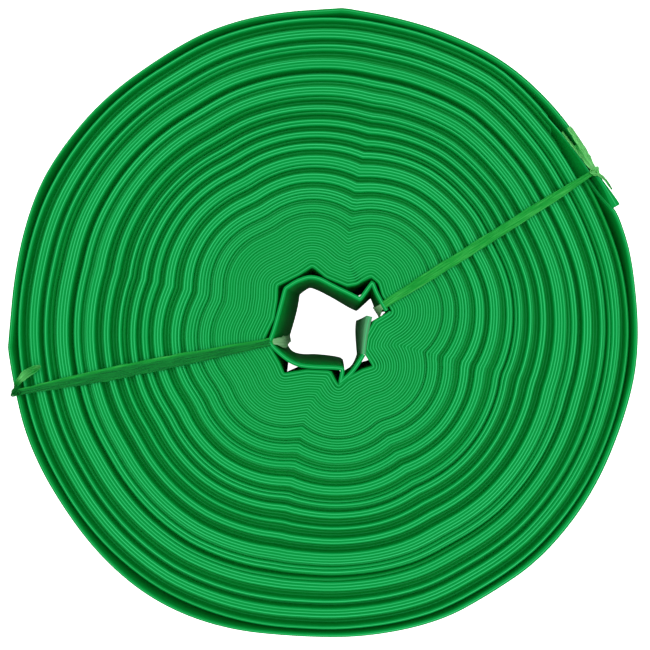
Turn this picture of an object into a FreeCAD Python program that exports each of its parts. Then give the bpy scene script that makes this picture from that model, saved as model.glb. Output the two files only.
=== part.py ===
"""A lay-flat soaker hose, wound flat like tape into a disc and held by two film ties.

The roll lies on its side: +Z is the winding axis, z = 0 is the floor. Seen from above, the hose winds
clockwise on its way out. Millimetres and degrees; angles are counted from +X towards +Y.
"""

import FreeCAD, Part
import math
import os

# The hose: its width and thickness when flat, and how far the edges of its turns stand out of line.
hose_width = 80.0
hose_thickness = 2.1
turn_stagger = 5.0
roll_height = hose_width + turn_stagger
loose_turn_bottom = turn_stagger / 2

# The rim. Each row is one kink of the loose outermost turn: angle, radius of its outer face, and the gap
# between it and the tight turns behind it.
rim_rows = [
    (30, 188.3, 2.8), (42, 190.2, 2.7), (55, 191.3, 1.0), (67, 188.9, 0.6), (77, 187.9, 0.5),
    (86, 189.2, 1.0), (100, 188.2, 0.5), (111, 188.3, 0.8), (121, 186.5, 0.4), (134, 187.9, 0.8),
    (146, 188.5, 1.0), (156, 189.2, 1.4), (169, 187.6, 0.6), (185, 190.1, 2.0), (191, 188.9, 0.5),
    (201, 190.7, 1.0), (212, 191.2, 1.2), (226, 194.0, 2.4), (239, 195.7, 3.5), (252, 193.2, 2.8),
    (266, 188.8, 0.5), (278, 190.2, 1.2), (291, 192.3, 1.6), (301, 191.0, 0.8), (313, 193.0, 1.6),
    (328, 191.7, 1.0), (344, 189.9, 0.5), (356, 190.2, 1.0), (371, 189.1, 0.8),
]
# Where the loose turn leaves the tight ones, under its own far end, and where it stops beside the right tie.
loose_turn_first = [(387.0, 185.8), (380.0, 187.6)]
loose_turn_last = (28.3, 188.4)
# The free end of the hose, past the right tie: its root, the middle of its bend and the cut.
outer_end_rows = [(27.4, 188.6), (25.0, 189.7), (21.6, 190.9)]

# The hole through the tight turns, from the right-hand tie round clockwise.
hole_points = [
    (40.5, 6.3), (31.1, 0.6), (25.5, -8.9), (24.1, -16.6), (30.6, -26.5), (23.7, -28.6), (14.2, -33.4),
    (8.9, -38.0), (4.3, -29.4), (-9.7, -28.6), (-23.4, -30.6), (-26.1, -24.4), (-30.6, -16.6),
    (-35.2, -9.8), (-29.4, 2.1), (-27.4, 13.4), (-27.0, 21.9), (-14.0, 28.2), (-6.4, 33.1), (1.2, 26.7),
    (14.5, 21.0), (22.0, 22.3), (28.0, 27.2), (32.6, 23.2), (34.6, 16.0),
]
# The crumpled innermost turn, standing loose inside that hole: its middle line, from its inner end outwards.
inner_turn_points = [
    (22.3, -21.0), (17.8, -27.2), (9.6, -34.8), (11.6, -26.9), (-9.7, -26.1), (-18.6, -24.1),
    (-28.0, -16.8), (-32.0, -11.4), (-27.8, -2.8), (-24.8, 10.8), (-22.8, 20.5), (-14.7, 25.2),
    (-5.3, 27.9), (6.9, 21.2), (15.3, 17.4), (22.5, 14.0), (29.3, 22.6), (32.2, 15.5), (37.3, 7.4),
]
# The cut inner end of the hose, a flap that leans into the hole.
inner_end_points = [(22.4, -18.2), (22.6, -6.5), (25.6, 4.0)]

# Each tie: angle of its run across the face, the point where it drops into the hole, the distances from
# there to the outside of the rim, and the angle and length of the free tail from its knot.
film_thickness = 0.5
tie_width = 6.0
tie_corner = 2.4
tie_clearance = 0.15
right_tie = {"angle": 32.3, "hole_point": (33.6, 8.8), "reach": 156.3,
             "tail_angle": 122.5, "tail_length": 31.0}
left_tie = {"angle": 191.3, "hole_point": (-27.4, -10.8), "reach": 163.1,
            "tail_angle": 45.0, "tail_length": 21.0}
groove_depth = 1.2
groove_margin = 1.0

# A tie's knot and its tails of crushed film.
knot_inset = 3.2
knot_lobe = (3.4, 2.2, 2.6)
knot_lobe_spread = 1.6
tail_thickness = 1.0
tail_root_width = 2.6
tail_tip_width = 4.4
tail_gap = 4.6
tail_lift = 0.35
short_tail_angle = -56.0
short_tail_length = 15.0
short_tail_width = 1.6

# How much of the shorter run a rounded corner takes.
bend_share = 0.45


def polar(angle, radius):
    return (radius * math.cos(math.radians(angle)), radius * math.sin(math.radians(angle)))


def flat(point):
    return FreeCAD.Vector(point[0], point[1], 0)


def left_of(direction):
    return FreeCAD.Vector(-direction.y, direction.x, 0)


def corner(before, point, after):
    """One rounded corner, taking its share of the shorter of the two runs that meet there."""
    run_in = point - before
    run_out = after - point
    way_in = FreeCAD.Vector(run_in).normalize()
    way_out = FreeCAD.Vector(run_out).normalize()
    turn = way_in.getAngle(way_out)
    side = 1 if way_in.cross(way_out).z > 0 else -1
    trim = bend_share * min(run_in.Length, run_out.Length)
    radius = trim / math.tan(turn / 2)
    start = point - way_in * trim
    end = point + way_out * trim
    centre = start + left_of(way_in) * (side * radius)
    outwards = (point - centre).normalize()
    return {"radius": radius, "side": side, "start": start, "end": end, "centre": centre,
            "outwards": outwards, "way_in": way_in, "way_out": way_out}


def offset_edges(points, distance, closed=False):
    """Runs and tangent arcs along the points, shifted to the left by a distance."""
    spots = [flat(p) for p in points]
    count = len(spots)
    middle = range(count) if closed else range(1, count - 1)
    corners = [corner(spots[i - 1], spots[i], spots[(i + 1) % count]) for i in middle]
    edges = []
    first_way = (spots[1] - spots[0]).normalize()
    if closed:
        here = corners[-1]["end"] + left_of(corners[-1]["way_out"]) * distance
    else:
        here = spots[0] + left_of(first_way) * distance
    for c in corners:
        start = c["start"] + left_of(c["way_in"]) * distance
        end = c["end"] + left_of(c["way_out"]) * distance
        top = c["centre"] + c["outwards"] * (c["radius"] - c["side"] * distance)
        edges.append(Part.LineSegment(here, start).toShape())
        edges.append(Part.Arc(start, top, end).toShape())
        here = end
    if not closed:
        last_way = (spots[-1] - spots[-2]).normalize()
        edges.append(Part.LineSegment(here, spots[-1] + left_of(last_way) * distance).toShape())
    return edges


def band_radii(points, closed=False):
    spots = [flat(p) for p in points]
    count = len(spots)
    middle = range(count) if closed else range(1, count - 1)
    return [corner(spots[i - 1], spots[i], spots[(i + 1) % count])["radius"] for i in middle]


def outline_face(points):
    return Part.Face(Part.Wire(offset_edges(points, 0.0, closed=True)))


def strip_face(points, thickness):
    """A flat strip seen on edge: the area within half a thickness of the route."""
    left = offset_edges(points, thickness / 2)
    right = offset_edges(points, -thickness / 2)
    ends = [Part.LineSegment(a.Vertexes[i].Point, b.Vertexes[i].Point).toShape()
            for a, b, i in ((left[0], right[0], 0), (left[-1], right[-1], -1))]
    return Part.Face(Part.Wire(Part.__sortEdges__(left + right + ends)))


def standing_strip(name, points, height, bottom):
    """The hose standing on its edge along a route. Prints its bends and its volume against its section."""
    length = sum(e.Length for e in offset_edges(points, 0.0))
    solid = strip_face(points, hose_thickness).extrude(FreeCAD.Vector(0, 0, height))
    solid.translate(FreeCAD.Vector(0, 0, bottom))
    expected = length * hose_thickness * height
    bends = ", ".join(f"{r:.0f}" for r in band_radii(points)) or "none"
    print(f"{name}: {length:.0f} mm long, volume is {solid.Volume / expected:.3f} of its section x length")
    print(f"  bend radii {bends}")
    return solid


def loose_turn_route():
    rows = loose_turn_first + [(a, r) for a, r, gap in reversed(rim_rows)] + [loose_turn_last]
    return [polar(angle, radius - hose_thickness / 2) for angle, radius in rows]


def wound_turns():
    """The tight turns as one disc with the star-shaped hole, grooved underneath where the ties pass."""
    rim = [polar(angle, radius - hose_thickness - gap) for angle, radius, gap in rim_rows]
    disc = outline_face(rim).cut(outline_face(hole_points)).extrude(FreeCAD.Vector(0, 0, roll_height))
    for tie in (left_tie, right_tie):
        reach = tie["reach"] + 2 * hose_thickness
        groove = Part.makeBox(reach, tie_width + 2 * groove_margin, groove_depth + 1,
                              FreeCAD.Vector(-hose_thickness, -tie_width / 2 - groove_margin, -1))
        disc = disc.cut(place_on_tie(groove, tie))
    return disc


def place_on_tie(shape, tie):
    """Turns a shape made along +X into a tie's own direction and sets it down at its hole point."""
    shape.rotate(FreeCAD.Vector(0, 0, 0), FreeCAD.Vector(0, 0, 1), tie["angle"])
    shape.translate(flat(tie["hole_point"]))
    return shape


def tie_route(tie):
    """The loop of a tie in its own upright plane, each corner of the roll taken in two small turns."""
    low = groove_depth / 2
    high = roll_height + tie_clearance + film_thickness / 2
    far = tie["reach"]
    c = tie_corner
    return [(far - c, high), (c, high), (0, high - c), (0, low + c), (c, low), (far - c, low),
            (far, low + c), (far, high - c)]


def tie_band(name, tie):
    route = tie_route(tie)
    outside = Part.Face(Part.Wire(offset_edges(route, -film_thickness / 2, closed=True)))
    inside = Part.Face(Part.Wire(offset_edges(route, film_thickness / 2, closed=True)))
    band = outside.cut(inside).extrude(FreeCAD.Vector(0, 0, tie_width))
    length = sum(e.Length for e in offset_edges(route, 0.0, closed=True))
    print(f"{name}: loop {length:.0f} mm, corner radii {band_radii(route, closed=True)[0]:.1f} mm, "
          f"volume is {band.Volume / (length * film_thickness * tie_width):.3f} of its section x length")
    band.translate(FreeCAD.Vector(0, 0, -tie_width / 2))
    band.rotate(FreeCAD.Vector(0, 0, 0), FreeCAD.Vector(1, 0, 0), 90)
    return place_on_tie(band, tie)


def knot_place(tie):
    along = tie["reach"] - knot_inset
    x, y = polar(tie["angle"], along)
    top = roll_height + tie_clearance + film_thickness
    return FreeCAD.Vector(tie["hole_point"][0] + x, tie["hole_point"][1] + y, top)


def ellipsoid(half_sizes):
    ball = Part.makeSphere(1.0)
    stretch = FreeCAD.Matrix()
    stretch.scale(*half_sizes)
    return ball.transformGeometry(stretch)


def tie_knot(tie):
    """Two crossed lobes of crushed film, sitting on the band at the edge of the roll."""
    lobes = []
    for side in (-1, 1):
        lobe = ellipsoid(knot_lobe)
        lobe.rotate(FreeCAD.Vector(0, 0, 0), FreeCAD.Vector(0, 0, 1), side * 35)
        lobe.translate(FreeCAD.Vector(0, side * knot_lobe_spread / 2, 0))
        lobes.append(lobe)
    knot = lobes[0].fuse(lobes[1])
    keep = Part.makeBox(20, 20, 10, FreeCAD.Vector(-10, -10, 0))
    knot = knot.common(keep)
    knot.rotate(FreeCAD.Vector(0, 0, 0), FreeCAD.Vector(0, 0, 1), tie["angle"])
    knot.translate(knot_place(tie))
    return knot


def film_tail(tie, angle, length, root_width, tip_width):
    """A free end of film lying on the roll, pointing away from the knot at an angle."""
    outline = [(tail_gap, -root_width / 2), (tail_gap + length, -tip_width / 2),
               (tail_gap + length, tip_width / 2), (tail_gap, root_width / 2)]
    spots = [flat(p) for p in outline]
    face = Part.Face(Part.makePolygon(spots + spots[:1]))
    tail = face.extrude(FreeCAD.Vector(0, 0, tail_thickness))
    tail.rotate(FreeCAD.Vector(0, 0, 0), FreeCAD.Vector(0, 0, 1), angle)
    tail.translate(knot_place(tie) + FreeCAD.Vector(0, 0, tail_lift))
    return tail


def build_parts():
    loose_routes = {
        "loose_outer_turn": loose_turn_route(),
        "outer_end_flap": [polar(angle, radius - hose_thickness / 2) for angle, radius in outer_end_rows],
        "loose_inner_turn": inner_turn_points,
        "inner_end_flap": inner_end_points,
    }
    nodes = {"wound_turns": wound_turns()}
    for name, route in loose_routes.items():
        nodes[name] = standing_strip(name, route, hose_width, loose_turn_bottom)
    for side, tie in (("left", left_tie), ("right", right_tie)):
        nodes[f"{side}_tie_band"] = tie_band(f"{side}_tie_band", tie)
        nodes[f"{side}_tie_knot"] = tie_knot(tie)
        nodes[f"{side}_tie_tail"] = film_tail(tie, tie["tail_angle"], tie["tail_length"],
                                              tail_root_width, tail_tip_width)
    nodes["right_tie_short_tail"] = film_tail(right_tie, short_tail_angle, short_tail_length,
                                              short_tail_width, short_tail_width)
    return nodes


def main():
    os.makedirs("parts", exist_ok=True)
    nodes = build_parts()
    whole = FreeCAD.BoundBox()
    for name, shape in nodes.items():
        solids = shape.Solids
        if not shape.isValid() or not solids:
            raise SystemExit(f"{name} is not a valid solid")
        shape.exportStep(os.path.join("parts", f"{name}.step"))
        whole.add(shape.BoundBox)
        print(f"{name}: {len(solids)} solid, {shape.Volume / 1000:.2f} cm3")
    print(f"box x {whole.XMin:.1f} {whole.XMax:.1f}  y {whole.YMin:.1f} {whole.YMax:.1f}"
          f"  z {whole.ZMin:.2f} {whole.ZMax:.2f}")


main()
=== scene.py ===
"""The looks of a lay-flat soaker hose, wound flat into a disc and tied with two strips of green film."""

import bmesh
import bpy
import math
import numpy as np
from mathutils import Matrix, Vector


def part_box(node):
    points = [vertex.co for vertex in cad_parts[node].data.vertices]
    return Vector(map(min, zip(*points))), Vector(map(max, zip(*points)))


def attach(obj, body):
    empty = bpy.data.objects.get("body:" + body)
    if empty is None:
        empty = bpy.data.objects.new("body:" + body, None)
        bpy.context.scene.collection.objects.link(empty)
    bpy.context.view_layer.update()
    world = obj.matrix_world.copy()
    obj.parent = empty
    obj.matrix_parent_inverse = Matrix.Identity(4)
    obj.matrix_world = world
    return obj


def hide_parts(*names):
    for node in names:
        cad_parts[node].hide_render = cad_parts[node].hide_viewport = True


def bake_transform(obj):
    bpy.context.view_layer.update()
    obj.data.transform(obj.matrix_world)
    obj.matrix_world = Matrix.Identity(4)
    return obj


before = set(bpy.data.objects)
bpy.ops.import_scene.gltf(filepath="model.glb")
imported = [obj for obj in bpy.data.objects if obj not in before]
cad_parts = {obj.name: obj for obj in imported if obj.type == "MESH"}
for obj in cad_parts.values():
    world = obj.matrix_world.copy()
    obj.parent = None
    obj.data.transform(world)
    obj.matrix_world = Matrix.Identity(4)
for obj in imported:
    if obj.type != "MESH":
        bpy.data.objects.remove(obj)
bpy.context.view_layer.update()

MM = 0.001

# The roll, from the frame: the height of its wound face, and of the loose turns at its rim and in its hole.
FACE_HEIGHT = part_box("wound_turns")[1].z
LOOSE_LOW, LOOSE_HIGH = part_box("loose_outer_turn")[0].z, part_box("loose_outer_turn")[1].z
HOSE_WIDTH = LOOSE_HIGH - LOOSE_LOW
MID_HEIGHT = (LOOSE_LOW + LOOSE_HIGH) / 2
HOSE_THICKNESS = 2.1 * MM
# The highest crests of the tight turns and of the loose turns, and the lowest foot.
TOP_OF_TURNS = FACE_HEIGHT - 0.3 * MM
LOOSE_TOP = FACE_HEIGHT - 0.5 * MM
FOOT_OF_TURNS = 1.2 * MM


# ---------------------------------------------------------------------------------------------------------
# Camera: above the face, a little to the right of the middle, close in


CAMERA_PLACE = (20.4 * MM, -3.3 * MM, FACE_HEIGHT + 387 * MM)
CAMERA_LENS = 35.7
CAMERA_SHIFT = (-0.0492, 0.0046)


def add_camera():
    data = bpy.data.cameras.new("camera")
    data.sensor_width = 36
    data.lens = CAMERA_LENS
    data.shift_x, data.shift_y = CAMERA_SHIFT
    data.clip_start = 0.01
    camera = bpy.data.objects.new("camera", data)
    camera.location = CAMERA_PLACE
    bpy.context.scene.collection.objects.link(camera)
    bpy.context.scene.camera = camera


add_camera()


# ---------------------------------------------------------------------------------------------------------
# Node trees: sums on a socket become Math nodes, and every other node comes from one method


class Value:
    """One output of a node tree."""

    def __init__(self, tree, socket):
        self.tree, self.socket = tree, socket

    def math(self, operation, *others):
        return self.tree.node("ShaderNodeMath", {"operation": operation}, dict(enumerate((self, *others))))

    def __add__(self, other):
        return self.math("ADD", other)

    def __sub__(self, other):
        return self.math("SUBTRACT", other)

    def __mul__(self, other):
        return self.math("MULTIPLY", other)

    def __pow__(self, other):
        return self.math("POWER", other)

    def __rsub__(self, other):
        return self.tree.node("ShaderNodeMath", {"operation": "SUBTRACT"}, {0: other, 1: self})

    __radd__ = __add__
    __rmul__ = __mul__

    def abs(self):
        return self.math("ABSOLUTE")

    def sin(self):
        return self.math("SINE")

    def step_up(self, low, high):
        """0 below low, 1 above high, eased between."""
        return self.tree.node("ShaderNodeMapRange", {"interpolation_type": "SMOOTHSTEP"},
                              {"Value": self, "From Min": low, "From Max": high})


class Tree:
    """A shader or geometry node tree that is filled by calls."""

    def __init__(self, nodes, links):
        self.nodes, self.links = nodes, links

    def node(self, kind, settings=None, inputs=None, output=0):
        made = self.nodes.new(kind)
        for name, value in (settings or {}).items():
            if name == "stops":
                self.set_stops(made.color_ramp, value)
            else:
                setattr(made, name, value)
        for name, value in (inputs or {}).items():
            self.feed(made.inputs[name], value)
        if output is None:
            return made
        return Value(self, made.outputs[output])

    def feed(self, socket, value):
        if isinstance(value, Value):
            self.links.new(value.socket, socket)
        else:
            socket.default_value = value

    @staticmethod
    def set_stops(ramp, stops):
        while len(ramp.elements) < len(stops):
            ramp.elements.new(0.5)
        for element, (place, colour) in zip(ramp.elements, stops):
            element.position = place
            element.color = colour

    def mix(self, factor, a, b):
        return self.node("ShaderNodeMix", {"data_type": "RGBA"}, {0: factor, 6: a, 7: b}, output=2)

    def noise(self, vector, scale, detail=2.0, roughness=0.5):
        return self.node("ShaderNodeTexNoise", {}, {"Vector": vector, "Scale": scale, "Detail": detail,
                                                    "Roughness": roughness})

    def named(self, name, kind):
        return self.node("GeometryNodeInputNamedAttribute", {"data_type": kind}, {"Name": name})

    def store(self, geometry, name, value, kind, domain):
        return self.node("GeometryNodeStoreNamedAttribute", {"data_type": kind, "domain": domain},
                         {"Geometry": geometry, "Name": name, "Value": value})

    def stretched(self, vector, scale):
        return self.node("ShaderNodeVectorMath", {"operation": "MULTIPLY"}, {0: vector, 1: scale})


def new_material(name):
    material = bpy.data.materials.new(name)
    material.use_nodes = True
    material.node_tree.nodes.clear()
    return material, Tree(material.node_tree.nodes, material.node_tree.links)


def finish_material(tree, shader):
    tree.node("ShaderNodeOutputMaterial", {}, {"Surface": shader}, output=None)


# ---------------------------------------------------------------------------------------------------------
# Materials


def hose_material():
    """Soft green PVC over a woven tube, mapped in metres along the hose and across it from its middle."""
    material, t = new_material("hose_pvc")
    place = t.node("ShaderNodeUVMap", {"uv_map": "UVMap"})
    split = t.node("ShaderNodeSeparateXYZ", {}, {0: place}, output=None)
    along, across = Value(t, split.outputs[0]), Value(t, split.outputs[1])
    worn, crest, faded = (t.node("ShaderNodeAttribute", {"attribute_name": name}, output=2)
                          for name in ("worn", "crest", "faded"))
    from_edge = HOSE_WIDTH / 2 - across.abs()
    # A thin light-green highlight is painted along the crest of each fold; its strength comes from the
    # per-point highlight attribute and a patchy noise.
    near_edge = 1 - from_edge.step_up(0.2 * MM, 1.2 * MM)
    highlight_patches = t.noise(t.stretched(place, (5.0, 0.0, 1.0)), 1.0, 3.0).step_up(0.3, 0.65)
    fold = near_edge * (1 - crest.step_up(0.05 * MM, 0.32 * MM))
    fold = fold * (0.35 + 0.65 * worn) * (0.5 + 0.5 * highlight_patches)
    # A lighter green is painted in a band along the hose's edges, a highlight on the top of each turn; it
    # follows the same per-point highlight strength.
    edge_highlight = (1 - from_edge.step_up(0.0, 1.8 * MM)) * worn
    streaks = t.noise(t.stretched(place, (9.0, 900.0, 1.0)), 1.0, 3.0)
    blotches = t.noise(t.stretched(place, (14.0, 14.0, 1.0)), 1.0, 2.0)
    body = t.mix(streaks.step_up(0.3, 0.7), (0.0004, 0.255, 0.028, 1), (0.0010, 0.310, 0.040, 1))
    body = t.mix(blotches.step_up(0.35, 0.75) * 0.35, body, (0.0016, 0.350, 0.050, 1))
    body = t.mix(edge_highlight * 0.65, body, (0.003, 0.420, 0.082, 1))
    # Mixes the colour towards a pale grey-green where asked; the inner hose end uses it.
    body = t.mix(faded, body, (0.140, 0.400, 0.210, 1))
    colour = t.mix(fold, body, (0.060, 0.780, 0.260, 1))
    thread = 1.3 * MM
    warp = (along * (2 * math.pi / thread)).sin()
    weft = (across * (2 * math.pi / thread)).sin()
    height = warp * weft * 0.5 + weft * 0.35 + streaks * 0.8
    bump = t.node("ShaderNodeBump", {}, {"Strength": 0.5, "Distance": 0.05 * MM, "Height": height})
    shader = t.node("ShaderNodeBsdfPrincipled", {}, {
        "Base Color": colour, "Roughness": 0.44 + blotches * 0.16, "Normal": bump,
        "Specular IOR Level": 0.04})
    finish_material(t, shader)
    return material


def film_material():
    """Thin film drawn into fibres. "pale" runs from flat dark film, 0, to light film, 1: partly the real
    whitening of crushed film, partly painted highlight and painted light on film in shade.
    """
    material, t = new_material("tie_film")
    place = t.node("ShaderNodeUVMap", {"uv_map": "UVMap"})
    pale = t.node("ShaderNodeAttribute", {"attribute_name": "pale"}, output=2)
    fibres = t.noise(t.stretched(place, (60.0, 1100.0, 1.0)), 1.0, 3.0, 0.6)
    clouds = t.noise(t.stretched(place, (260.0, 500.0, 1.0)), 1.0, 2.0)
    green = t.node("ShaderNodeValToRGB", {"stops": [
        (0.0, (0.002, 0.150, 0.030, 1)), (0.4, (0.012, 0.440, 0.050, 1)), (0.75, (0.250, 0.980, 0.270, 1)),
        (1.0, (0.680, 0.950, 0.660, 1))]}, {"Fac": pale + (fibres - 0.5) * 0.3})
    alpha = 0.72 + 0.2 * fibres.step_up(0.4, 0.7) + 0.2 * pale
    bump = t.node("ShaderNodeBump", {}, {"Strength": 0.4, "Distance": 0.08 * MM, "Height": fibres + clouds})
    shader = t.node("ShaderNodeBsdfPrincipled", {}, {
        "Base Color": green, "Roughness": 0.34 + 0.2 * clouds, "Alpha": alpha, "Normal": bump,
        "Specular IOR Level": 0.08})
    finish_material(t, shader)
    return material


# ---------------------------------------------------------------------------------------------------------
# Lines and outlines


def route_line(name, points):
    """A smooth line through a list of control points: a NURBS spline of order 3, read back as points."""
    curve = bpy.data.curves.new(name, "CURVE")
    curve.dimensions = "3D"
    curve.resolution_u = 24
    spline = curve.splines.new("NURBS")
    spline.points.add(len(points) - 1)
    for control, place in zip(spline.points, points):
        control.co = (*place, 1)
    spline.order_u = 3
    spline.use_endpoint_u = True
    holder = bpy.data.objects.new(name, curve)
    bpy.context.scene.collection.objects.link(holder)
    mesh = bpy.data.meshes.new_from_object(holder)
    line = np.array([v.co for v in mesh.vertices], float)
    bpy.data.objects.remove(holder)
    bpy.data.curves.remove(curve)
    bpy.data.meshes.remove(mesh)
    return line


def length_along(line):
    steps = np.linalg.norm(np.diff(line, axis=0), axis=1)
    return np.concatenate([[0.0], np.cumsum(steps)])


def evenly(line, step, *partners):
    """The same line with points an even step apart, and any partner lines cut at the same places."""
    along = length_along(line)
    count = max(2, round(along[-1] / step) + 1)
    wanted = np.linspace(0, along[-1], count)
    cut = [np.column_stack([np.interp(wanted, along, column) for column in rows.T])
           for rows in (line, *partners)]
    return cut if partners else cut[0]


def polar(angle, radius):
    return radius * math.cos(math.radians(angle)), radius * math.sin(math.radians(angle))


# ---------------------------------------------------------------------------------------------------------
# The routes of the hose, in millimetres: the design's points, some a little moved, and more of them at a
# fold and behind the outer end


# Kinks of the loose outermost turn: angle, radius of its outer face, gap to the tight turns behind it.
RIM_ROWS = [
    (30, 188.3, 2.8), (42, 190.2, 2.7), (55, 191.3, 1.0), (67, 188.9, 0.6), (77, 187.9, 0.5),
    (86, 188.7, 0.8), (86.4, 188.7, 0.8), (100, 188.2, 0.5), (111, 188.3, 0.8), (121, 186.5, 0.4),
    (134, 187.9, 0.8), (146, 188.5, 1.0), (156, 189.2, 1.4), (169, 187.6, 0.6), (184.5, 189.3, 1.2),
    (185, 189.3, 1.2), (191, 188.9, 0.5), (201, 190.7, 1.0), (212, 191.2, 1.2), (226, 194.0, 2.4),
    (239, 195.7, 3.5), (252, 193.2, 2.8), (266, 188.8, 0.5), (278, 190.2, 1.2), (291, 192.3, 1.6),
    (301, 191.0, 0.8), (313, 193.0, 1.6), (328, 191.7, 1.0), (344, 189.9, 0.5), (356, 190.2, 1.0),
    (371, 189.1, 0.8),
]
# Where that turn comes out from behind its own end, where it ends, and its cut end: angle, radius.
LOOSE_TURN_FIRST = [(389.4, 184.2), (387.0, 185.4), (383.0, 187.6), (379.0, 189.4)]
LOOSE_TURN_LAST = (28.3, 188.4)
OUTER_END_ROWS = [(27.4, 188.6), (25.0, 189.7), (21.6, 190.9)]
# The spline cuts inside its control points by this much.
SPLINE_CUT = 0.9

# The hole through the tight turns, clockwise from the right-hand tie.
HOLE_POINTS = [
    (40.5, 6.3), (31.1, 0.6), (25.5, -8.9), (24.1, -16.6), (30.6, -26.5), (23.7, -28.6), (14.2, -33.4),
    (8.9, -38.0), (4.3, -29.4), (-9.7, -28.6), (-23.4, -30.6), (-26.1, -24.4), (-30.6, -16.6),
    (-35.2, -9.8), (-29.4, 2.1), (-27.4, 13.4), (-27.0, 21.9), (-14.0, 28.2), (-6.4, 33.1), (1.2, 26.7),
    (14.5, 21.0), (22.0, 22.3), (28.0, 27.2), (32.6, 23.2), (34.6, 16.0),
]
# The loose innermost turn from its end outwards: its top edge, and how far its foot stands from under that.
# A sharp fold is a point written twice, and a rounder one is two points close together.
INNER_TURN = [
    ((24.4, -19.2), (-3.0, -3.0)), ((19.1, -28.7), (0.0, -2.0)), ((10.4, -36.0), (0.0, 0.0)),
    ((10.4, -36.0), (0.0, 0.0)), ((12.0, -28.6), (-2.5, 1.0)), ((11.0, -27.2), (-3.0, 2.0)),
    ((-9.7, -26.7), (-0.3, 3.6)), ((-18.6, -24.5), (0.0, 1.0)), ((-28.0, -17.0), (0.5, -4.5)),
    ((-32.2, -12.2), (0.8, -3.0)), ((-32.2, -11.6), (1.0, -2.5)), ((-28.9, -2.6), (1.4, 0.0)),
    ((-25.3, 10.8), (1.5, 0.0)), ((-22.9, 20.0), (0.6, 1.0)), ((-22.2, 20.9), (0.3, 1.0)),
    ((-14.7, 25.7), (-1.5, 0.5)), ((-5.3, 28.2), (-7.0, -0.8)), ((6.9, 21.6), (-4.5, -1.5)),
    ((15.3, 17.7), (-2.5, -4.0)), ((22.0, 14.1), (-2.5, -3.8)), ((22.6, 14.2), (-2.5, -3.8)),
    ((29.4, 23.8), (0.8, -4.0)), ((29.9, 23.8), (0.8, -4.0)), ((32.6, 16.6), (-0.4, 0.0)),
    ((38.3, 7.2), (-3.0, 1.0)),
]
INNER_END = [((25.5, -5.3), (-5.7, -2.0)), ((28.0, 3.8), (-6.6, -2.2))]
# Where the inner end starts to bend, and where it bends as a whole.
INNER_END_ROOT, INNER_END_FREE = (22.35, -19.6), (22.6, -12)


def loose_turn_route():
    rows = [(a, r + SPLINE_CUT) for a, r, gap in reversed(RIM_ROWS)]
    rows = LOOSE_TURN_FIRST + rows + [LOOSE_TURN_LAST]
    flat = [polar(angle, radius - HOSE_THICKNESS / MM / 2) for angle, radius in rows]
    return [(x * MM, y * MM, MID_HEIGHT) for x, y in flat]


# ---------------------------------------------------------------------------------------------------------
# The tight turns: each lies on the one inside it, so each outline is the last one grown by a thickness


ANGLE_COUNT = 1440
ANGLES = np.arange(ANGLE_COUNT) * 2 * math.pi / ANGLE_COUNT
TIGHT_PITCH = 1.55
EASY_PITCH = 1.80
TURNS = 87
EASY_FROM, EASY_TO = 20, 36
SEAM_ANGLE = math.radians(9)


def hole_outline():
    """Distance of the hole's wall from the axis at every angle."""
    corners = np.array(HOLE_POINTS + HOLE_POINTS[:1])
    outline = np.zeros(ANGLE_COUNT)
    rays = np.column_stack([np.cos(ANGLES), np.sin(ANGLES)])
    for a, b in zip(corners[:-1], corners[1:]):
        run = b - a
        cross = rays[:, 0] * run[1] - rays[:, 1] * run[0]
        cross = np.where(np.abs(cross) < 1e-9, 1e-9, cross)
        reach = (a[0] * run[1] - a[1] * run[0]) / cross
        share = (a[0] * rays[:, 1] - a[1] * rays[:, 0]) / cross
        hit = (reach > 0) & (share >= 0) & (share <= 1)
        outline = np.where(hit, np.maximum(outline, reach), outline)
    return smoothed(outline, 7)


def smoothed(outline, reach):
    """Averaged over a few neighbouring angles on each side."""
    window = np.hanning(2 * reach + 3)[1:-1]
    shifts = range(-reach, reach + 1)
    return sum(w * np.roll(outline, s) for w, s in zip(window, shifts)) / window.sum()


def grown(outline, distance):
    """The outline of everything within a distance of it, as a layer of that thickness round it has."""
    best = outline + distance
    reach = int(math.asin(min(1, distance / outline.min())) / (2 * math.pi / ANGLE_COUNT)) + 1
    for step in range(1, reach + 1):
        turn = step * 2 * math.pi / ANGLE_COUNT
        for shifted in (np.roll(outline, step), np.roll(outline, -step)):
            room = distance ** 2 - (shifted * math.sin(turn)) ** 2
            reached = shifted * math.cos(turn) + np.sqrt(np.maximum(room, 0))
            best = np.where(room > 0, np.maximum(best, reached), best)
    return best


def ease(value, low, high):
    share = np.clip((value - low) / (high - low), 0, 1)
    return share * share * (3 - 2 * share)


def by_angle(rows, degrees):
    """The later columns of rows that start with an angle, read at other angles in degrees."""
    angles, *columns = zip(*rows)
    return [np.interp(degrees % 360, angles, column, period=360) for column in columns]


# How much wider than in the design the gap behind the loose turn is, by angle.
WIDER_GAPS = [(0, 0.4), (20, 1.0), (30, 0.6), (42, 1.2), (55, 1.4), (70, 1.1), (100, 1.5), (134, 1.4),
              (160, 1.2), (185, 0.8), (200, 1.1), (215, 0.6), (235, 0.0), (330, 0.3)]


def rim_outline():
    """The outermost tight turn's middle line: behind the loose turn by its gap, drawn in a little further."""
    rows = sorted((a % 360, r - HOSE_THICKNESS / MM - gap - EASY_PITCH / 2) for a, r, gap in RIM_ROWS)
    [radii] = by_angle(rows, np.degrees(ANGLES))
    [drawn_in] = by_angle(WIDER_GAPS, np.degrees(ANGLES))
    return smoothed(radii - drawn_in, 12)


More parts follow.
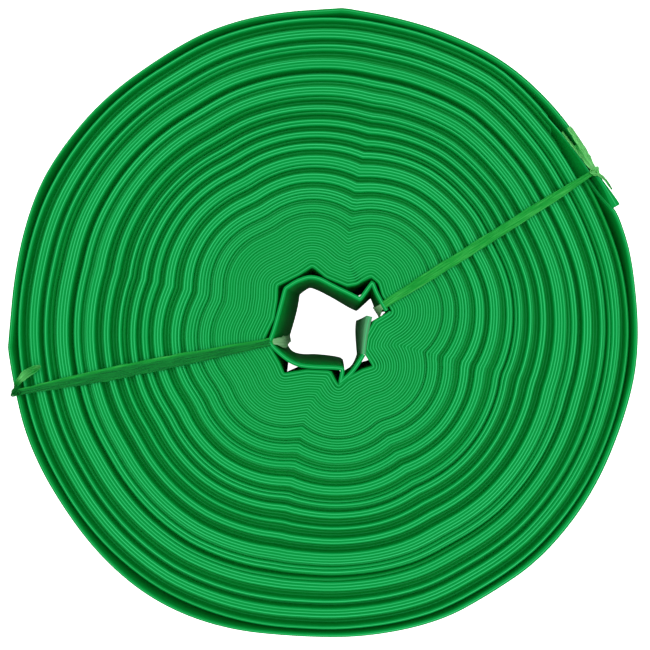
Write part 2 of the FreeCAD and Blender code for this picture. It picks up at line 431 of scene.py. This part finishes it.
def turn_outlines():
    """Closed outlines of the middle line of each tight turn, from the hole to the rim."""
    outline = grown(hole_outline(), TIGHT_PITCH / 2)
    outlines = [outline]
    for turn in range(1, TURNS + 1):
        pitch = TIGHT_PITCH + (EASY_PITCH - TIGHT_PITCH) * ease(turn, EASY_FROM, EASY_TO)
        outline = smoothed(grown(outline, pitch), 2)
        outlines.append(outline)
    left_over = rim_outline() - outlines[-1]
    shares = [ease(turn, EASY_FROM, TURNS) for turn in range(TURNS + 1)]
    return np.array([o + left_over * share for o, share in zip(outlines, shares)])


OUTLINES = turn_outlines()


# ---------------------------------------------------------------------------------------------------------
# A flattened tube, by geometry nodes: a ring goes along a line whose points carry their own directions


FLOATS = ("thickness", "low", "high", "bulge", "along", "crown", "worn", "faded")
KEPT = ("worn", "faded")
VECTORS = ("spot", "outward", "rise")


def flattened_tube_tree():
    group = bpy.data.node_groups.new("flattened_tube", "GeometryNodeTree")
    sockets = [("Line", "Geometry"), ("Points round", "Int"), ("Width", "Float"), ("Material", "Material")]
    for name, kind in sockets:
        group.interface.new_socket(name, in_out="INPUT", socket_type="NodeSocket" + kind)
    group.interface.new_socket("Tube", in_out="OUTPUT", socket_type="NodeSocketGeometry")
    t = Tree(group.nodes, group.links)
    given = t.node("NodeGroupInput", output=None)
    line, count, width, material = (Value(t, s) for s in list(given.outputs)[:4])

    ring = t.node("GeometryNodeCurvePrimitiveCircle", {}, {"Resolution": count, "Radius": 1.0})
    ring = t.store(ring, "section", t.node("GeometryNodeInputPosition"), "FLOAT_VECTOR", "POINT")
    curve = t.node("GeometryNodeMeshToCurve", {}, {"Mesh": line})
    tube = t.node("GeometryNodeCurveToMesh", {}, {"Curve": curve, "Profile Curve": ring, "Fill Caps": True})

    section = t.node("ShaderNodeSeparateXYZ", {}, {0: t.named("section", "FLOAT_VECTOR")}, output=None)
    side, up = Value(t, section.outputs[0]), Value(t, section.outputs[1])
    place = {name: t.named(name, "FLOAT_VECTOR") for name in VECTORS}
    size = {name: t.named(name, "FLOAT") for name in FLOATS}
    fold = up.abs()
    end = up.math("SIGN") * (fold * 20).math("MINIMUM", 1.0)
    puff = 1 + size["bulge"] * fold * (1 - fold) * 4
    offset = side.math("SIGN") * side.abs() ** 0.6 * size["thickness"] * 0.5 * puff
    middle = (size["low"] + size["high"]) * 0.5
    half = (size["high"] - size["low"]) * 0.5
    drop = size["crown"] * (1 - fold)
    height = middle + end * (half - drop)
    sideways = t.node("ShaderNodeVectorMath", {"operation": "SCALE"}, {0: place["outward"], 3: offset})
    upwards = t.node("ShaderNodeVectorMath", {"operation": "SCALE"}, {0: place["rise"], 3: height})
    spot = t.node("ShaderNodeVectorMath", {"operation": "ADD"}, {0: place["spot"], 1: sideways})
    spot = t.node("ShaderNodeVectorMath", {"operation": "ADD"}, {0: spot, 1: upwards})
    tube = t.store(tube, "crest", offset.abs(), "FLOAT", "POINT")
    tube = t.node("GeometryNodeSetPosition", {}, {"Geometry": tube, "Position": spot})

    across = end * (width * 0.5 - drop)
    flat_map = t.node("ShaderNodeCombineXYZ", {}, {0: size["along"], 1: across})
    tube = t.store(tube, "UVMap", flat_map, "FLOAT2", "CORNER")
    tube = t.node("GeometryNodeSetShadeSmooth", {}, {"Geometry": tube, "Shade Smooth": True})
    tube = t.node("GeometryNodeSetMaterial", {}, {"Geometry": tube, "Material": material})
    tube = t.node("GeometryNodeRealizeInstances", {}, {"Geometry": tube})
    t.node("NodeGroupOutput", {}, {0: tube}, output=None)
    return group


TUBE_TREE = flattened_tube_tree()


def flattened_tube(name, spot, outward, rise, material, points_round, **sizes):
    """Runs the tree on a line of spots. The sizes are those in FLOATS, one number or one for each spot."""
    count = len(spot)
    mesh = bpy.data.meshes.new(name + "_line")
    mesh.from_pydata([tuple(p) for p in spot], [(i, i + 1) for i in range(count - 1)], [])
    for label, values in (("spot", spot), ("outward", outward), ("rise", rise)):
        layer = mesh.attributes.new(label, "FLOAT_VECTOR", "POINT")
        layer.data.foreach_set("vector", np.broadcast_to(values, (count, 3)).astype(np.float32).ravel())
    for label in FLOATS:
        layer = mesh.attributes.new(label, "FLOAT", "POINT")
        values = np.broadcast_to(sizes.get(label, 0.0), (count,)).astype(np.float32)
        layer.data.foreach_set("value", values)
    holder = bpy.data.objects.new(name + "_line", mesh)
    bpy.context.scene.collection.objects.link(holder)
    modifier = holder.modifiers.new("tube", "NODES")
    modifier.node_group = TUBE_TREE
    wanted = {"Points round": points_round, "Width": HOSE_WIDTH, "Material": material}
    for item in TUBE_TREE.interface.items_tree:
        if item.name in wanted:
            modifier[item.identifier] = wanted[item.name]
    made = bpy.data.meshes.new_from_object(holder.evaluated_get(bpy.context.evaluated_depsgraph_get()))
    bpy.data.objects.remove(holder)
    for label in ("section", *VECTORS, *FLOATS):
        if label not in KEPT and made.attributes.get(label):
            made.attributes.remove(made.attributes[label])
    return as_object(name, made)


def as_object(name, mesh):
    """The mesh as an object in the scene, its faces turned outwards."""
    work = bmesh.new()
    work.from_mesh(mesh)
    bmesh.ops.recalc_face_normals(work, faces=work.faces)
    work.to_mesh(mesh)
    work.free()
    made = bpy.data.objects.new(name, mesh)
    mesh.name = name
    bpy.context.scene.collection.objects.link(made)
    return made


def sides(line, slack=0.6):
    """The outward direction at each point of a flat line that runs clockwise, longer at a corner."""
    steps = np.diff(line[:, :2], axis=0)
    steps /= np.linalg.norm(steps, axis=1)[:, None]
    before = np.vstack([steps[:1], steps])
    after = np.vstack([steps, steps[-1:]])
    way = before + after
    way /= np.linalg.norm(way, axis=1)[:, None]
    turn = np.clip((way * after).sum(axis=1), slack, 1)
    return np.column_stack([-way[:, 1] / turn, way[:, 0] / turn, np.zeros(len(line))])


UP = (0.0, 0.0, 1.0)


# ---------------------------------------------------------------------------------------------------------
# The tight turns


# Rings where turns stand lower: radius to the right of the axis, width and depth, in millimetres.
GROOVES = [(71.2, 2.2, 1.6), (80.0, 2.6, 2.4), (89.4, 3.4, 3.2), (98.4, 3.8, 4.2), (108.2, 3.4, 4.0),
           (114.9, 2.6, 4.2), (122.1, 3.8, 4.8), (129.0, 4.2, 5.2), (137.4, 4.4, 5.8), (147.6, 2.8, 2.6),
           (154.4, 2.8, 7.5), (164.7, 4.6, 4.8), (171.4, 2.8, 6.2), (181.2, 4.6, 6.4)]
# How far the foot of the hole's wall stands from under its top edge, by angle: to the right, and up the face.
HOLE_LEANS = [(0, 0, 0), (20, 0, 0), (35, 0.8, -3.5), (55, -2.5, -4.5), (80, -5.0, -2.5), (100, -5.0, -1.0),
              (125, -1.0, 0), (145, 0, 0), (200, 0.5, -2.0), (218, -1.5, -1.5), (232, -7.0, -5.0),
              (246, 0, 1.5), (275, 0, 1.0), (300, 0, 0)]
# How deep the outermost tight turn stands, by angle.
RIM_DIPS = [(0, 1.6), (60, 0.8), (150, 1.0), (215, 1.0), (240, 2.0), (262, 1.0), (300, 0.5), (335, 1.5)]
# How much the other turns stand lower, each by its own chance and again along its length.
UNEVEN_TURNS, UNEVEN_LENGTHS = 0.6, 0.3


def angle_of(turn):
    """Where on the roll a number of turns from the hole is: the hose winds clockwise on its way out."""
    return math.degrees(SEAM_ANGLE) - turn * 360


def sunken(turn):
    """How far below the highest crest the hose stands at a number of turns from the hole, in millimetres."""
    rng = np.random.default_rng(5)
    turns = np.arange(TURNS + 1)
    low = np.zeros(len(turn))
    for radius, width, depth in GROOVES:
        start, stop = np.interp([radius - width / 2, radius + width / 2], OUTLINES[:, 0], turns)
        middle, half = (start + stop) / 2, (stop - start) / 2
        low = np.maximum(low, 0.85 * depth * (1 - ease(np.abs(turn - middle), half - 0.25, half + 0.45)))
    [dip] = by_angle(RIM_DIPS, angle_of(turn))
    low = np.maximum(low, dip * ease(turn, TURNS - 1.3, TURNS - 0.9))
    quarters = np.arange(0, TURNS + 2, 0.25)
    per_turn = np.interp(turn, np.arange(TURNS + 3), rng.uniform(0, 1, TURNS + 3))
    per_quarter = np.interp(turn, quarters, rng.uniform(0, 1, len(quarters)))
    return low + UNEVEN_TURNS * per_turn + UNEVEN_LENGTHS * per_quarter


# Beside the right-hand tie a turn is folded over: angle, radius of its top edge, radius of its foot.
FOLD_ROWS = [(29.3, 184.6, 176.2), (31.0, 184.5, 176.6), (34.0, 184.0, 177.6), (37.0, 183.6, 179.3),
             (40.0, 183.3, 181.4), (44.0, 183.3, 182.8)]
FOLD_DEPTH = 13 * MM
# The last turns at the rim and the angles that the fold covers, and how far those turns sink under it.
TURNS_UNDER_FOLD = 8
SINK_ANGLES = (28, 43)
SINK_UNDER_FOLD = 14 * MM


def in_fold(turn, angle):
    """How much of a place on the tight turns lies under the folded turn."""
    columns = (angle / 360 * ANGLE_COUNT).astype(int) % ANGLE_COUNT
    radius = np.array([np.interp(t, np.arange(TURNS + 1), OUTLINES[:, c]) for t, c in zip(turn, columns)])
    angles, tops, feet = zip(*FOLD_ROWS)
    foot, top = np.interp(angle, angles, feet), np.interp(angle, angles, tops)
    here = (angle > angles[0]) & (angle < angles[-1])
    return here * ease(radius, foot - 0.3, foot + 0.5) * (1 - ease(radius, top - 0.8, top))


def add_folded_turn(material):
    rows = [(*polar(angle, top - 0.6), *polar(angle, foot)) for angle, top, foot in FOLD_ROWS]
    top = route_line("folded_turn_top", [(x * MM, y * MM, 0) for x, y, a, b in reversed(rows)])
    foot = route_line("folded_turn_foot", [(a * MM, b * MM, 0) for x, y, a, b in reversed(rows)])
    top, foot = evenly(top, 2 * MM, foot)
    lean = (top - foot) / FOLD_DEPTH
    high = TOP_OF_TURNS - 0.3 * MM
    piece = flattened_tube("folded_turn", top - lean * high, sides(top), UP + lean, material, points_round=16,
                           thickness=1.3 * MM, low=high - FOLD_DEPTH, high=high, along=length_along(top),
                           crown=0.7 * MM, worn=0.9)
    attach(piece, "roll")
    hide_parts("wound_turns")


# The turns nearest the hole are wavy: how many they are, and the steps in each of them and of the others.
WAVY_TURNS, WAVY_STEPS, ROUND_STEPS = 22, 320, 160
# The part of a turn that the tight turns stop short by, where the last of them goes on as the loose turn.
LAST_TURN_CUT = 0.056


def wound_line():
    """Turn number, place, outward direction and room along the tight turns, in order from the hole."""
    turn = np.concatenate([np.arange(0, WAVY_TURNS, 1 / WAVY_STEPS),
                           np.arange(WAVY_TURNS, TURNS - LAST_TURN_CUT, 1 / ROUND_STEPS)])
    angle = SEAM_ANGLE - turn * 2 * math.pi
    layer = turn.astype(int)
    share = turn - layer
    columns = (angle / (2 * math.pi) * ANGLE_COUNT) % ANGLE_COUNT
    left = columns.astype(int) % ANGLE_COUNT
    right = (left + 1) % ANGLE_COUNT
    part = columns - np.floor(columns)

    def radius_on(which):
        return OUTLINES[which, left] * (1 - part) + OUTLINES[which, right] * part

    inner, outer = radius_on(layer), radius_on(np.minimum(layer + 1, TURNS))
    radius = inner + (outer - inner) * share
    ray = np.column_stack([np.cos(angle), np.sin(angle), np.zeros(len(angle))])
    line = ray * radius[:, None]
    outward = sides(line)
    facing = np.clip((outward * ray).sum(axis=1), 0.3, 1)
    room = np.clip((outer - inner) * facing, 1.2, 2.3)
    loose = 1 - ease(turn, 0.8, 1.3)
    line = line - outward * (loose * 0.45)[:, None]
    return turn, line * MM, outward, (room + loose * 0.7) * MM


# The tight turns are made as several pieces, which start at these turns.
PIECES_START = [0, 13, 26, 52]
# The turns over which the lean of the hole's wall fades out, and those over which the highlight painted on
# the folds grows to full strength and the hose gets a little thicker.
LEAN_FADES = (2, 18)
HIGHLIGHT_AND_THICKNESS_GROW = (18, 34)


def add_wound_turns(material):
    turn, line, outward, room = wound_line()
    along = length_along(line)
    down = sunken(turn) * MM
    angle = angle_of(turn) % 360
    near = (angle > SINK_ANGLES[0]) & (angle < SINK_ANGLES[1]) & (turn > TURNS - TURNS_UNDER_FOLD)
    down[near] = np.maximum(down[near], SINK_UNDER_FOLD * in_fold(turn[near], angle[near]))
    lean = np.column_stack([*by_angle(HOLE_LEANS, angle), np.zeros(len(turn))])
    lean = lean * -MM / HOSE_WIDTH * (1 - ease(turn, *LEAN_FADES))[:, None]
    high = TOP_OF_TURNS - down
    low = np.maximum(high - HOSE_WIDTH, FOOT_OF_TURNS)
    # Strength of the highlight painted on the folds: turns that stand lower get less, which paints shade into
    # the grooves, and turns near the hole get a little less.
    worn = (1 - ease(down, 0.8 * MM, 3.5 * MM)) * (0.6 + 0.4 * ease(turn, *HIGHLIGHT_AND_THICKNESS_GROW))
    crown = (0.22 + 0.16 * worn) * MM
    thickness = room * (1.07 + 0.03 * ease(turn, *HIGHLIGHT_AND_THICKNESS_GROW))
    cuts = np.searchsorted(turn, PIECES_START)
    for number, (first, last) in enumerate(zip(cuts, [*cuts[1:], len(turn)]), 1):
        part = slice(first, last + 1)
        piece = flattened_tube(
            f"tight_turns_{number}", (line - lean * FACE_HEIGHT)[part], outward[part], (UP + lean)[part],
            material, points_round=16, thickness=thickness[part], low=low[part], high=high[part],
            along=along[part], crown=crown[part], worn=worn[part])
        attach(piece, "roll")
        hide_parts("wound_turns")


# ---------------------------------------------------------------------------------------------------------
# The loose turns and the hose's two ends


# How thick the loose turn is pressed, in millimetres, and how strong the highlight painted on its fold is, by
# angle.
LOOSE_EDGES = [(10, 1.7, 0.9), (40, 2.2, 0.7), (90, 2.3, 0.5), (114, 1.5, 0.3), (150, 1.3, 0.3),
               (175, 2.1, 0.4), (200, 2.1, 0.5), (230, 1.7, 0.6), (270, 1.6, 0.8), (300, 2.0, 1.0),
               (335, 2.2, 1.0)]


# How far down the loose turn starts, behind the hose's end.
TUCKED_DEPTH = 6 * MM


def add_loose_outer_turn(material):
    """Gives the turn and the middle line that it follows."""
    line = evenly(route_line("loose_outer_turn_route", loose_turn_route()), 4 * MM)
    along = length_along(line)
    pressed, worn = by_angle(LOOSE_EDGES, np.degrees(np.arctan2(line[:, 1], line[:, 0])))
    thickness = pressed * MM
    flat = line + sides(line) * ((HOSE_THICKNESS - thickness) / 2)[:, None]
    flat[:, 2] = 0
    tucked = 1 - ease(along, 12 * MM, 30 * MM)
    high = LOOSE_TOP - TUCKED_DEPTH * tucked
    low = np.maximum(high - HOSE_WIDTH, FOOT_OF_TURNS)
    # Where the turn is tucked down behind the end, less highlight is painted on its fold, which paints it
    # darker, as in shade.
    piece = flattened_tube("loose_outer_hose", flat, sides(line), UP, material, points_round=20,
                           thickness=thickness, low=low, high=high, bulge=0.35, along=along,
                           crown=0.8 * MM, worn=worn * (1 - 0.7 * tucked))
    return piece, line


def hose_end(name, points, leans, material, lead, puff, faded=0.0):
    """A hose's cut end, from its root to its open mouth. The tube turns back in at the mouth as a lining."""
    line, lean = leaning_line(name, points, leans, 1.5 * MM)
    share = np.linspace(0, 1, len(line))
    outer = HOSE_THICKNESS * 0.95 + (puff - HOSE_THICKNESS) * ease(share, 0.2, 1)
    wall = 0.8 * MM
    narrowest = 0.15 * MM
    back = slice(None, len(line) // 3, -1)
    outward = sides(line)
    along = lead + length_along(line)
    line, lean, outward, along = (np.concatenate([v, v[back]]) for v in (line, lean, outward, along))
    thickness = np.concatenate([outer, np.maximum(outer[back] - 2 * wall, narrowest)])
    inset = np.concatenate([np.zeros(len(outer)), np.full(len(line) - len(outer), wall)])
    return flattened_tube(name, line - lean * LOOSE_TOP, outward, UP + lean, material, points_round=20,
                          thickness=thickness, low=LOOSE_TOP - HOSE_WIDTH + inset, high=LOOSE_TOP - inset,
                          bulge=0.35, along=along, crown=0.9 * MM, worn=1.0, faded=faded)


def leaning_line(name, points, leans, step):
    """The top edge of a leaning turn, and how far it leans at each point for each metre of height."""
    feet = [(x + a, y + b) for (x, y), (a, b) in zip(points, leans)]
    top = route_line(name + "_top", [(x * MM, y * MM, 0) for x, y in points])
    foot = route_line(name + "_foot", [(x * MM, y * MM, 0) for x, y in feet])
    line, foot = evenly(top, step, foot)
    return line, (line - foot) / HOSE_WIDTH


def at_mid_height(point):
    return point[0] * MM, point[1] * MM, MID_HEIGHT


def add_outer_end(material, lead):
    """The outer cut end, which goes on from the loose outer turn."""
    rows = [LOOSE_TURN_LAST, *OUTER_END_ROWS]
    points = [polar(angle, radius - HOSE_THICKNESS / MM / 2) for angle, radius in rows]
    piece = hose_end("outer_hose_end", points, [(0, 0)] * len(points), material, lead, 4.2 * MM)
    at_mid_height(points[1])
    at_mid_height(points[2])
    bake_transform(piece)
    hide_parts("outer_end_flap")
    return piece


def add_loose_inner_turn(material):
    points, leans = zip(*INNER_TURN)
    line, lean = leaning_line("loose_inner_turn", points, leans, 1 * MM)
    piece = flattened_tube("loose_inner_hose", line - lean * LOOSE_TOP, sides(line), UP + lean, material,
                           points_round=20, thickness=HOSE_THICKNESS, low=LOOSE_TOP - HOSE_WIDTH,
                           high=LOOSE_TOP, bulge=0.3, along=length_along(line), crown=0.9 * MM, worn=1.0)
    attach(piece, "roll")
    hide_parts("loose_inner_turn")
    return piece


def add_inner_end(material):
    """The inner cut end, folded back from the loose inner turn."""
    points, leans = zip(INNER_TURN[0], *INNER_END)
    piece = hose_end("inner_hose_end", points, leans, material, 0.0, 3.0 * MM, faded=0.7)
    at_mid_height(INNER_END_ROOT)
    at_mid_height(INNER_END_FREE)
    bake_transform(piece)
    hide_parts("inner_end_flap")
    return piece


def add_hose(material):
    """Gives the loose outer turn, the middle line that it follows, and the outer end."""
    add_wound_turns(material)
    add_folded_turn(material)
    loose, line = add_loose_outer_turn(material)
    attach(loose, "roll")
    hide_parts("loose_outer_turn")
    outer_end = add_outer_end(material, length_along(line)[-1])
    inner_turn = add_loose_inner_turn(material)
    inner_end = add_inner_end(material)
    return loose, line, outer_end


# ---------------------------------------------------------------------------------------------------------
# The ties: strips of film round the roll and through the hole, knotted over the rim


# For each tie: its direction, the place in the hole that it is measured from, how far its top run starts from
# there and reaches, how far it hangs aside in the hole, and its shades and widths along the top run.
TIES = {
    "left": {"angle": 191.3, "hole_point": (-27.4, -10.8), "start": 2.6, "drape": 2.4, "reach": 163.1,
             "seed": 11, "pale": ([-1, -0.7, -0.4, 1], [0.42, 0.36, 0.13, 0.13]), "knot_pale": 0.18,
             "widths": [(0, 4.6), (15, 5.4), (60, 7.6), (105, 8.2), (140, 5.2), (158, 3.6), (163, 3.4)]},
    "right": {"angle": 32.3, "hole_point": (33.6, 8.8), "start": 1.8, "drape": -2.0, "reach": 156.3,
              "seed": 12, "pale": ([-1, 1], [0.42, 0.4]), "knot_pale": 0.72,
              "widths": [(0, 4.8), (12, 5.2), (60, 6.2), (105, 6.0), (135, 4.4), (150, 2.8), (156, 2.6)]},
}
TIE_LOW, TIE_HIGH = 0.6, 85.4
TIE_CORNER = 2.4
KNOT_INSET = 3.2
# The height above which a tie lies on the face, the film's columns of points across, its width where it
# can't be seen, its widths in the hole by height, and how pale it is there, which paints light onto the film
# in the hole's shade.
ON_FACE = 80
FILM_COLUMNS = 11
HIDDEN_WIDTH = 4.6
WIDTHS_IN_HOLE = [(20, 5.0), (58, 8.5), (78, 4.0), (84, 3.4)]
PALE_IN_HOLE = 0.88


def tie_place(tie, along, height, sideways=0.0):
    """A place in metres, from millimetres along a tie from its hole point, up, and to its left."""
    angle = math.radians(tie["angle"])
    x = tie["hole_point"][0] + along * math.cos(angle) - sideways * math.sin(angle)
    y = tie["hole_point"][1] + along * math.sin(angle) + sideways * math.cos(angle)
    return x * MM, y * MM, height * MM


def tie_route(tie):
    """The loop of a tie, from its knot over the face, down the hole, underneath and up the rim."""
    far, near, drape, c = tie["reach"], tie["start"], tie["drape"], TIE_CORNER
    turns = [(far - KNOT_INSET, TIE_HIGH), (far - 36, TIE_HIGH), (36, TIE_HIGH), (near + c, TIE_HIGH),
             (near, TIE_HIGH - c), (near - 4.5, TIE_HIGH - 24, drape), (0, TIE_LOW + 24), (0, TIE_LOW + c),
             (c, TIE_LOW), (36, TIE_LOW), (far - 36, TIE_LOW), (far - c, TIE_LOW), (far, TIE_LOW + c),
             (far, TIE_LOW + 24), (far, TIE_HIGH - 24), (far, TIE_HIGH - c), (far - 1.6, TIE_HIGH)]
    return [tie_place(tie, *turn) for turn in turns]


def film_strip(name, line, across, widths, material, seed, pale, pleat=0.1, sheet=0.1, step=5.0):
    """A gathered strip of film along a line: pleats run its length, and its edges wander. Its widths, pleats,
    sheet and step are in millimetres, and how pale it is can change along it and across it."""
    columns = FILM_COLUMNS
    rng = np.random.default_rng(seed)
    count = len(line)
    along = length_along(line)
    way = np.gradient(line, axis=0)
    normal = np.cross(across, way)
    normal /= np.linalg.norm(normal, axis=1)[:, None]
    knots = np.arange(0, along[-1] / MM + step, step) * MM
    place = np.linspace(-1, 1, columns)

    def wander(spread):
        return np.interp(along, knots, rng.uniform(-spread, spread, len(knots)))

    lift = np.array([wander(pleat) + (pleat if k % 2 else -pleat) for k in range(columns)]).T * MM
    shift = np.array([wander(0.1) for k in range(columns)]).T
    offset = (place[None, :] + shift) * np.asarray(widths)[:, None] * MM / 2
    middle = line[:, None, :] + across[:, None, :] * offset[:, :, None]
    middle = middle + normal[:, None, :] * lift[:, :, None]
    half = normal[:, None, :] * (sheet * MM / 2)
    points = np.concatenate([middle + half, (middle - half)[:, ::-1]], axis=1)
    ring = 2 * columns
    faces = [(i * ring + k, i * ring + (k + 1) % ring, (i + 1) * ring + (k + 1) % ring, (i + 1) * ring + k)
             for i in range(count - 1) for k in range(ring)]
    faces += [tuple(range(ring)), tuple(range((count - 1) * ring, count * ring))]
    mesh = bpy.data.meshes.new(name)
    mesh.from_pydata(points.reshape(-1, 3).tolist(), [], faces)
    flat_map = mesh.uv_layers.new(name="UVMap")
    across_map = np.concatenate([offset, offset[:, ::-1]], axis=1)
    for loop in mesh.loops:
        i, k = divmod(loop.vertex_index, ring)
        flat_map.data[loop.index].uv = (along[i], across_map[i, k])
    pale = np.broadcast_to(pale, (count, columns))
    layer = mesh.attributes.new("pale", "FLOAT", "POINT")
    layer.data.foreach_set("value", np.concatenate([pale, pale[:, ::-1]], axis=1).astype(np.float32).ravel())
    mesh.polygons.foreach_set("use_smooth", [True] * len(mesh.polygons))
    mesh.materials.append(material)
    return as_object(name, mesh)


def add_tie(side, film):
    tie = TIES[side]
    line = evenly(route_line(side + "_tie_route", tie_route(tie)), 2 * MM)
    angle = math.radians(tie["angle"])
    across = np.tile((-math.sin(angle), math.cos(angle), 0.0), (len(line), 1))
    out = (line[:, 0] / MM - tie["hole_point"][0]) * math.cos(angle)
    out += (line[:, 1] / MM - tie["hole_point"][1]) * math.sin(angle)
    widths = np.interp(out, *zip(*tie["widths"]))
    height = line[:, 2] / MM
    on_face = height > ON_FACE
    in_hole = (height < TIE_HIGH - TIE_CORNER) & (height > TIE_LOW + TIE_CORNER) & (out < 20)
    widths = np.where(on_face, widths, HIDDEN_WIDTH)
    widths = np.where(in_hole, np.interp(height, *zip(*WIDTHS_IN_HOLE)), widths)
    shades = np.interp(np.linspace(-1, 1, FILM_COLUMNS), *tie["pale"])
    pale = np.where(in_hole[:, None], PALE_IN_HOLE, shades[None, :])
    band = film_strip(side + "_tie", line, across, widths, film, seed=tie["seed"], pale=pale)
    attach(band, "roll")
    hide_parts(side + "_tie_band")

    knot_place = tie_place(tie, tie["reach"] - KNOT_INSET, TIE_HIGH + 0.6)
    knot = add_knot(side + "_knot", knot_place, angle, film, tie["knot_pale"])
    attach(knot, "roll")
    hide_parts(side + "_tie_knot")
    return band, line, knot


def add_knot(name, place, angle, material, pale):
    """An overhand knot in the film, pulled flat."""
    turn = np.linspace(0, 2 * math.pi, 73)[:-1]
    loops = np.column_stack([np.sin(turn) + 2 * np.sin(2 * turn), np.cos(turn) - 2 * np.cos(2 * turn),
                             -np.sin(3 * turn)]) * (0.8 * MM, 0.62 * MM, 0.7 * MM)
    turned = np.array([[math.cos(angle), math.sin(angle), 0], [-math.sin(angle), math.cos(angle), 0],
                       [0, 0, 1]])
    line = loops @ turned + place
    line = np.vstack([line, line[:1]])
    way = np.gradient(line, axis=0)
    across = np.cross(way, (0.0, 0.0, 1.0))
    across /= np.linalg.norm(across, axis=1)[:, None]
    return film_strip(name, line, across, np.full(len(line), 1.9), material, seed=3, pale=pale, pleat=0.3,
                      sheet=0.4, step=1.2)


def tail(name, points, widths, material, seed, pale):
    """A free end of film, its control points and widths in millimetres."""
    line = evenly(route_line(name + "_route", [(x * MM, y * MM, z * MM) for x, y, z in points]), 0.8 * MM)
    way = np.gradient(line, axis=0)
    across = np.cross(way, (0.0, 0.0, 1.0))
    across /= np.linalg.norm(across, axis=1)[:, None]
    share = np.linspace(0, 1, len(line))
    width = np.interp(share, np.linspace(0, 1, len(widths)), widths)
    shade = np.interp(share, np.linspace(0, 1, len(pale)), pale)[:, None]
    return film_strip(name, line, across, width, material, seed=seed, pale=shade, pleat=0.38, step=1.6)


def joined(name, pieces):
    """Several pieces as one mesh."""
    work = bmesh.new()
    for piece in pieces:
        work.from_mesh(piece.data)
    mesh = pieces[0].data.copy()
    work.to_mesh(mesh)
    work.free()
    for piece in pieces:
        bpy.data.objects.remove(piece)
    return as_object(name, mesh)


def blend_tail(piece):
    """Bakes the tail's placement into its mesh."""
    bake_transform(piece)


def add_tails(film):
    # The pale values along the tails are partly crumpled film and partly painted highlight.
    left = tail("left_tail", [(-184.8, -42.4, 85.9), (-184.6, -38.8, 86.1), (-181.6, -34.6, 86.4),
                              (-178.0, -31.0, 86.9), (-172.9, -28.0, 87.2), (-168.4, -26.0, 87.4)],
                [1.8, 2.2, 3.6, 5.0, 4.8, 4.2, 1.4], film, seed=21, pale=[0.15, 0.25, 0.62, 0.55, 0.42, 0.5])
    blend_tail(left)
    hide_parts("left_tie_tail")

    outer = tail("right_tail_outer", [(162.6, 92.0, 86.2), (158.5, 99.5, 86.4), (152.5, 109.0, 86.6),
                                      (147.3, 116.9, 86.7)], [1.8, 3.4, 3.4, 3.2, 2.6], film, seed=22,
                 pale=[0.75, 0.7])
    inner = tail("right_tail_inner", [(161.6, 91.6, 86.0), (155.4, 98.6, 86.0), (149.0, 106.6, 86.0),
                                      (143.2, 114.3, 86.0)], [1.6, 1.3, 1.2, 1.0, 0.7], film, seed=23,
                 pale=[0.75, 0.6])
    web = tail("right_tail_web", [(161.4, 92.6, 86.0), (157.0, 98.8, 86.0), (151.8, 106.6, 86.1)],
               [2.6, 4.2, 4.6, 3.0], film, seed=24, pale=[0.85, 0.5, 0.42])
    right = joined("right_tail", [outer, inner, web])
    blend_tail(right)
    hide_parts("right_tie_tail")

    short = tail("right_short_tail", [(163.6, 90.0, 85.8), (167.4, 87.6, 85.7), (170.6, 84.0, 85.6),
                                      (173.3, 79.7, 85.6)], [2.0, 1.6, 1.4, 0.9], film, seed=25,
                 pale=[0.8, 0.5])
    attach(short, "roll")
    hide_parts("right_tie_short_tail")
    return left, right, short


# ---------------------------------------------------------------------------------------------------------
# Floor and light


def add_floor():
    material, t = new_material("floor")
    lit = t.node("ShaderNodeBsdfDiffuse", {}, {"Color": (0.9, 0.9, 0.9, 1)})
    glow = t.node("ShaderNodeEmission", {}, {"Color": (1, 1, 1, 1), "Strength": 1.2})
    seen = t.node("ShaderNodeLightPath")
    glow_seen = t.node("ShaderNodeMixShader", {}, {0: seen, 2: glow})
    both = t.node("ShaderNodeAddShader", {}, {0: lit, 1: glow_seen})
    finish_material(t, both)
    mesh = bpy.data.meshes.new("floor")
    reach, height = 3.0, -0.2 * MM
    mesh.from_pydata([(-reach, -reach, height), (reach, -reach, height), (reach, reach, height),
                      (-reach, reach, height)], [], [(0, 1, 2, 3)])
    mesh.materials.append(material)
    floor = bpy.data.objects.new("floor", mesh)
    bpy.context.scene.collection.objects.link(floor)


def add_light():
    scene = bpy.context.scene
    scene.view_settings.view_transform = "Standard"
    scene.world = bpy.data.worlds.new("world")
    scene.world.use_nodes = True
    scene.world.node_tree.nodes["Background"].inputs["Color"].default_value = (1, 1, 1, 1)
    scene.world.node_tree.nodes["Background"].inputs["Strength"].default_value = 0.9
    data = bpy.data.lights.new("softbox", "AREA")
    data.shape = "RECTANGLE"
    data.size = data.size_y = 1.0
    data.energy = 18
    softbox = bpy.data.objects.new("softbox", data)
    softbox.location = (0.5, 0.35, 1.5)
    softbox.rotation_euler = (-softbox.location).to_track_quat("Z", "Y").to_euler()
    scene.collection.objects.link(softbox)


# ---------------------------------------------------------------------------------------------------------
# The whole scene


add_floor()
add_light()
hose_green = hose_material()
film_green = film_material()

loose_turn, loose_line, outer_end = add_hose(hose_green)
left_band, left_line, left_knot = add_tie("left", film_green)
right_band, right_line, right_knot = add_tie("right", film_green)
left_tail, right_tail, short_tail = add_tails(film_green)
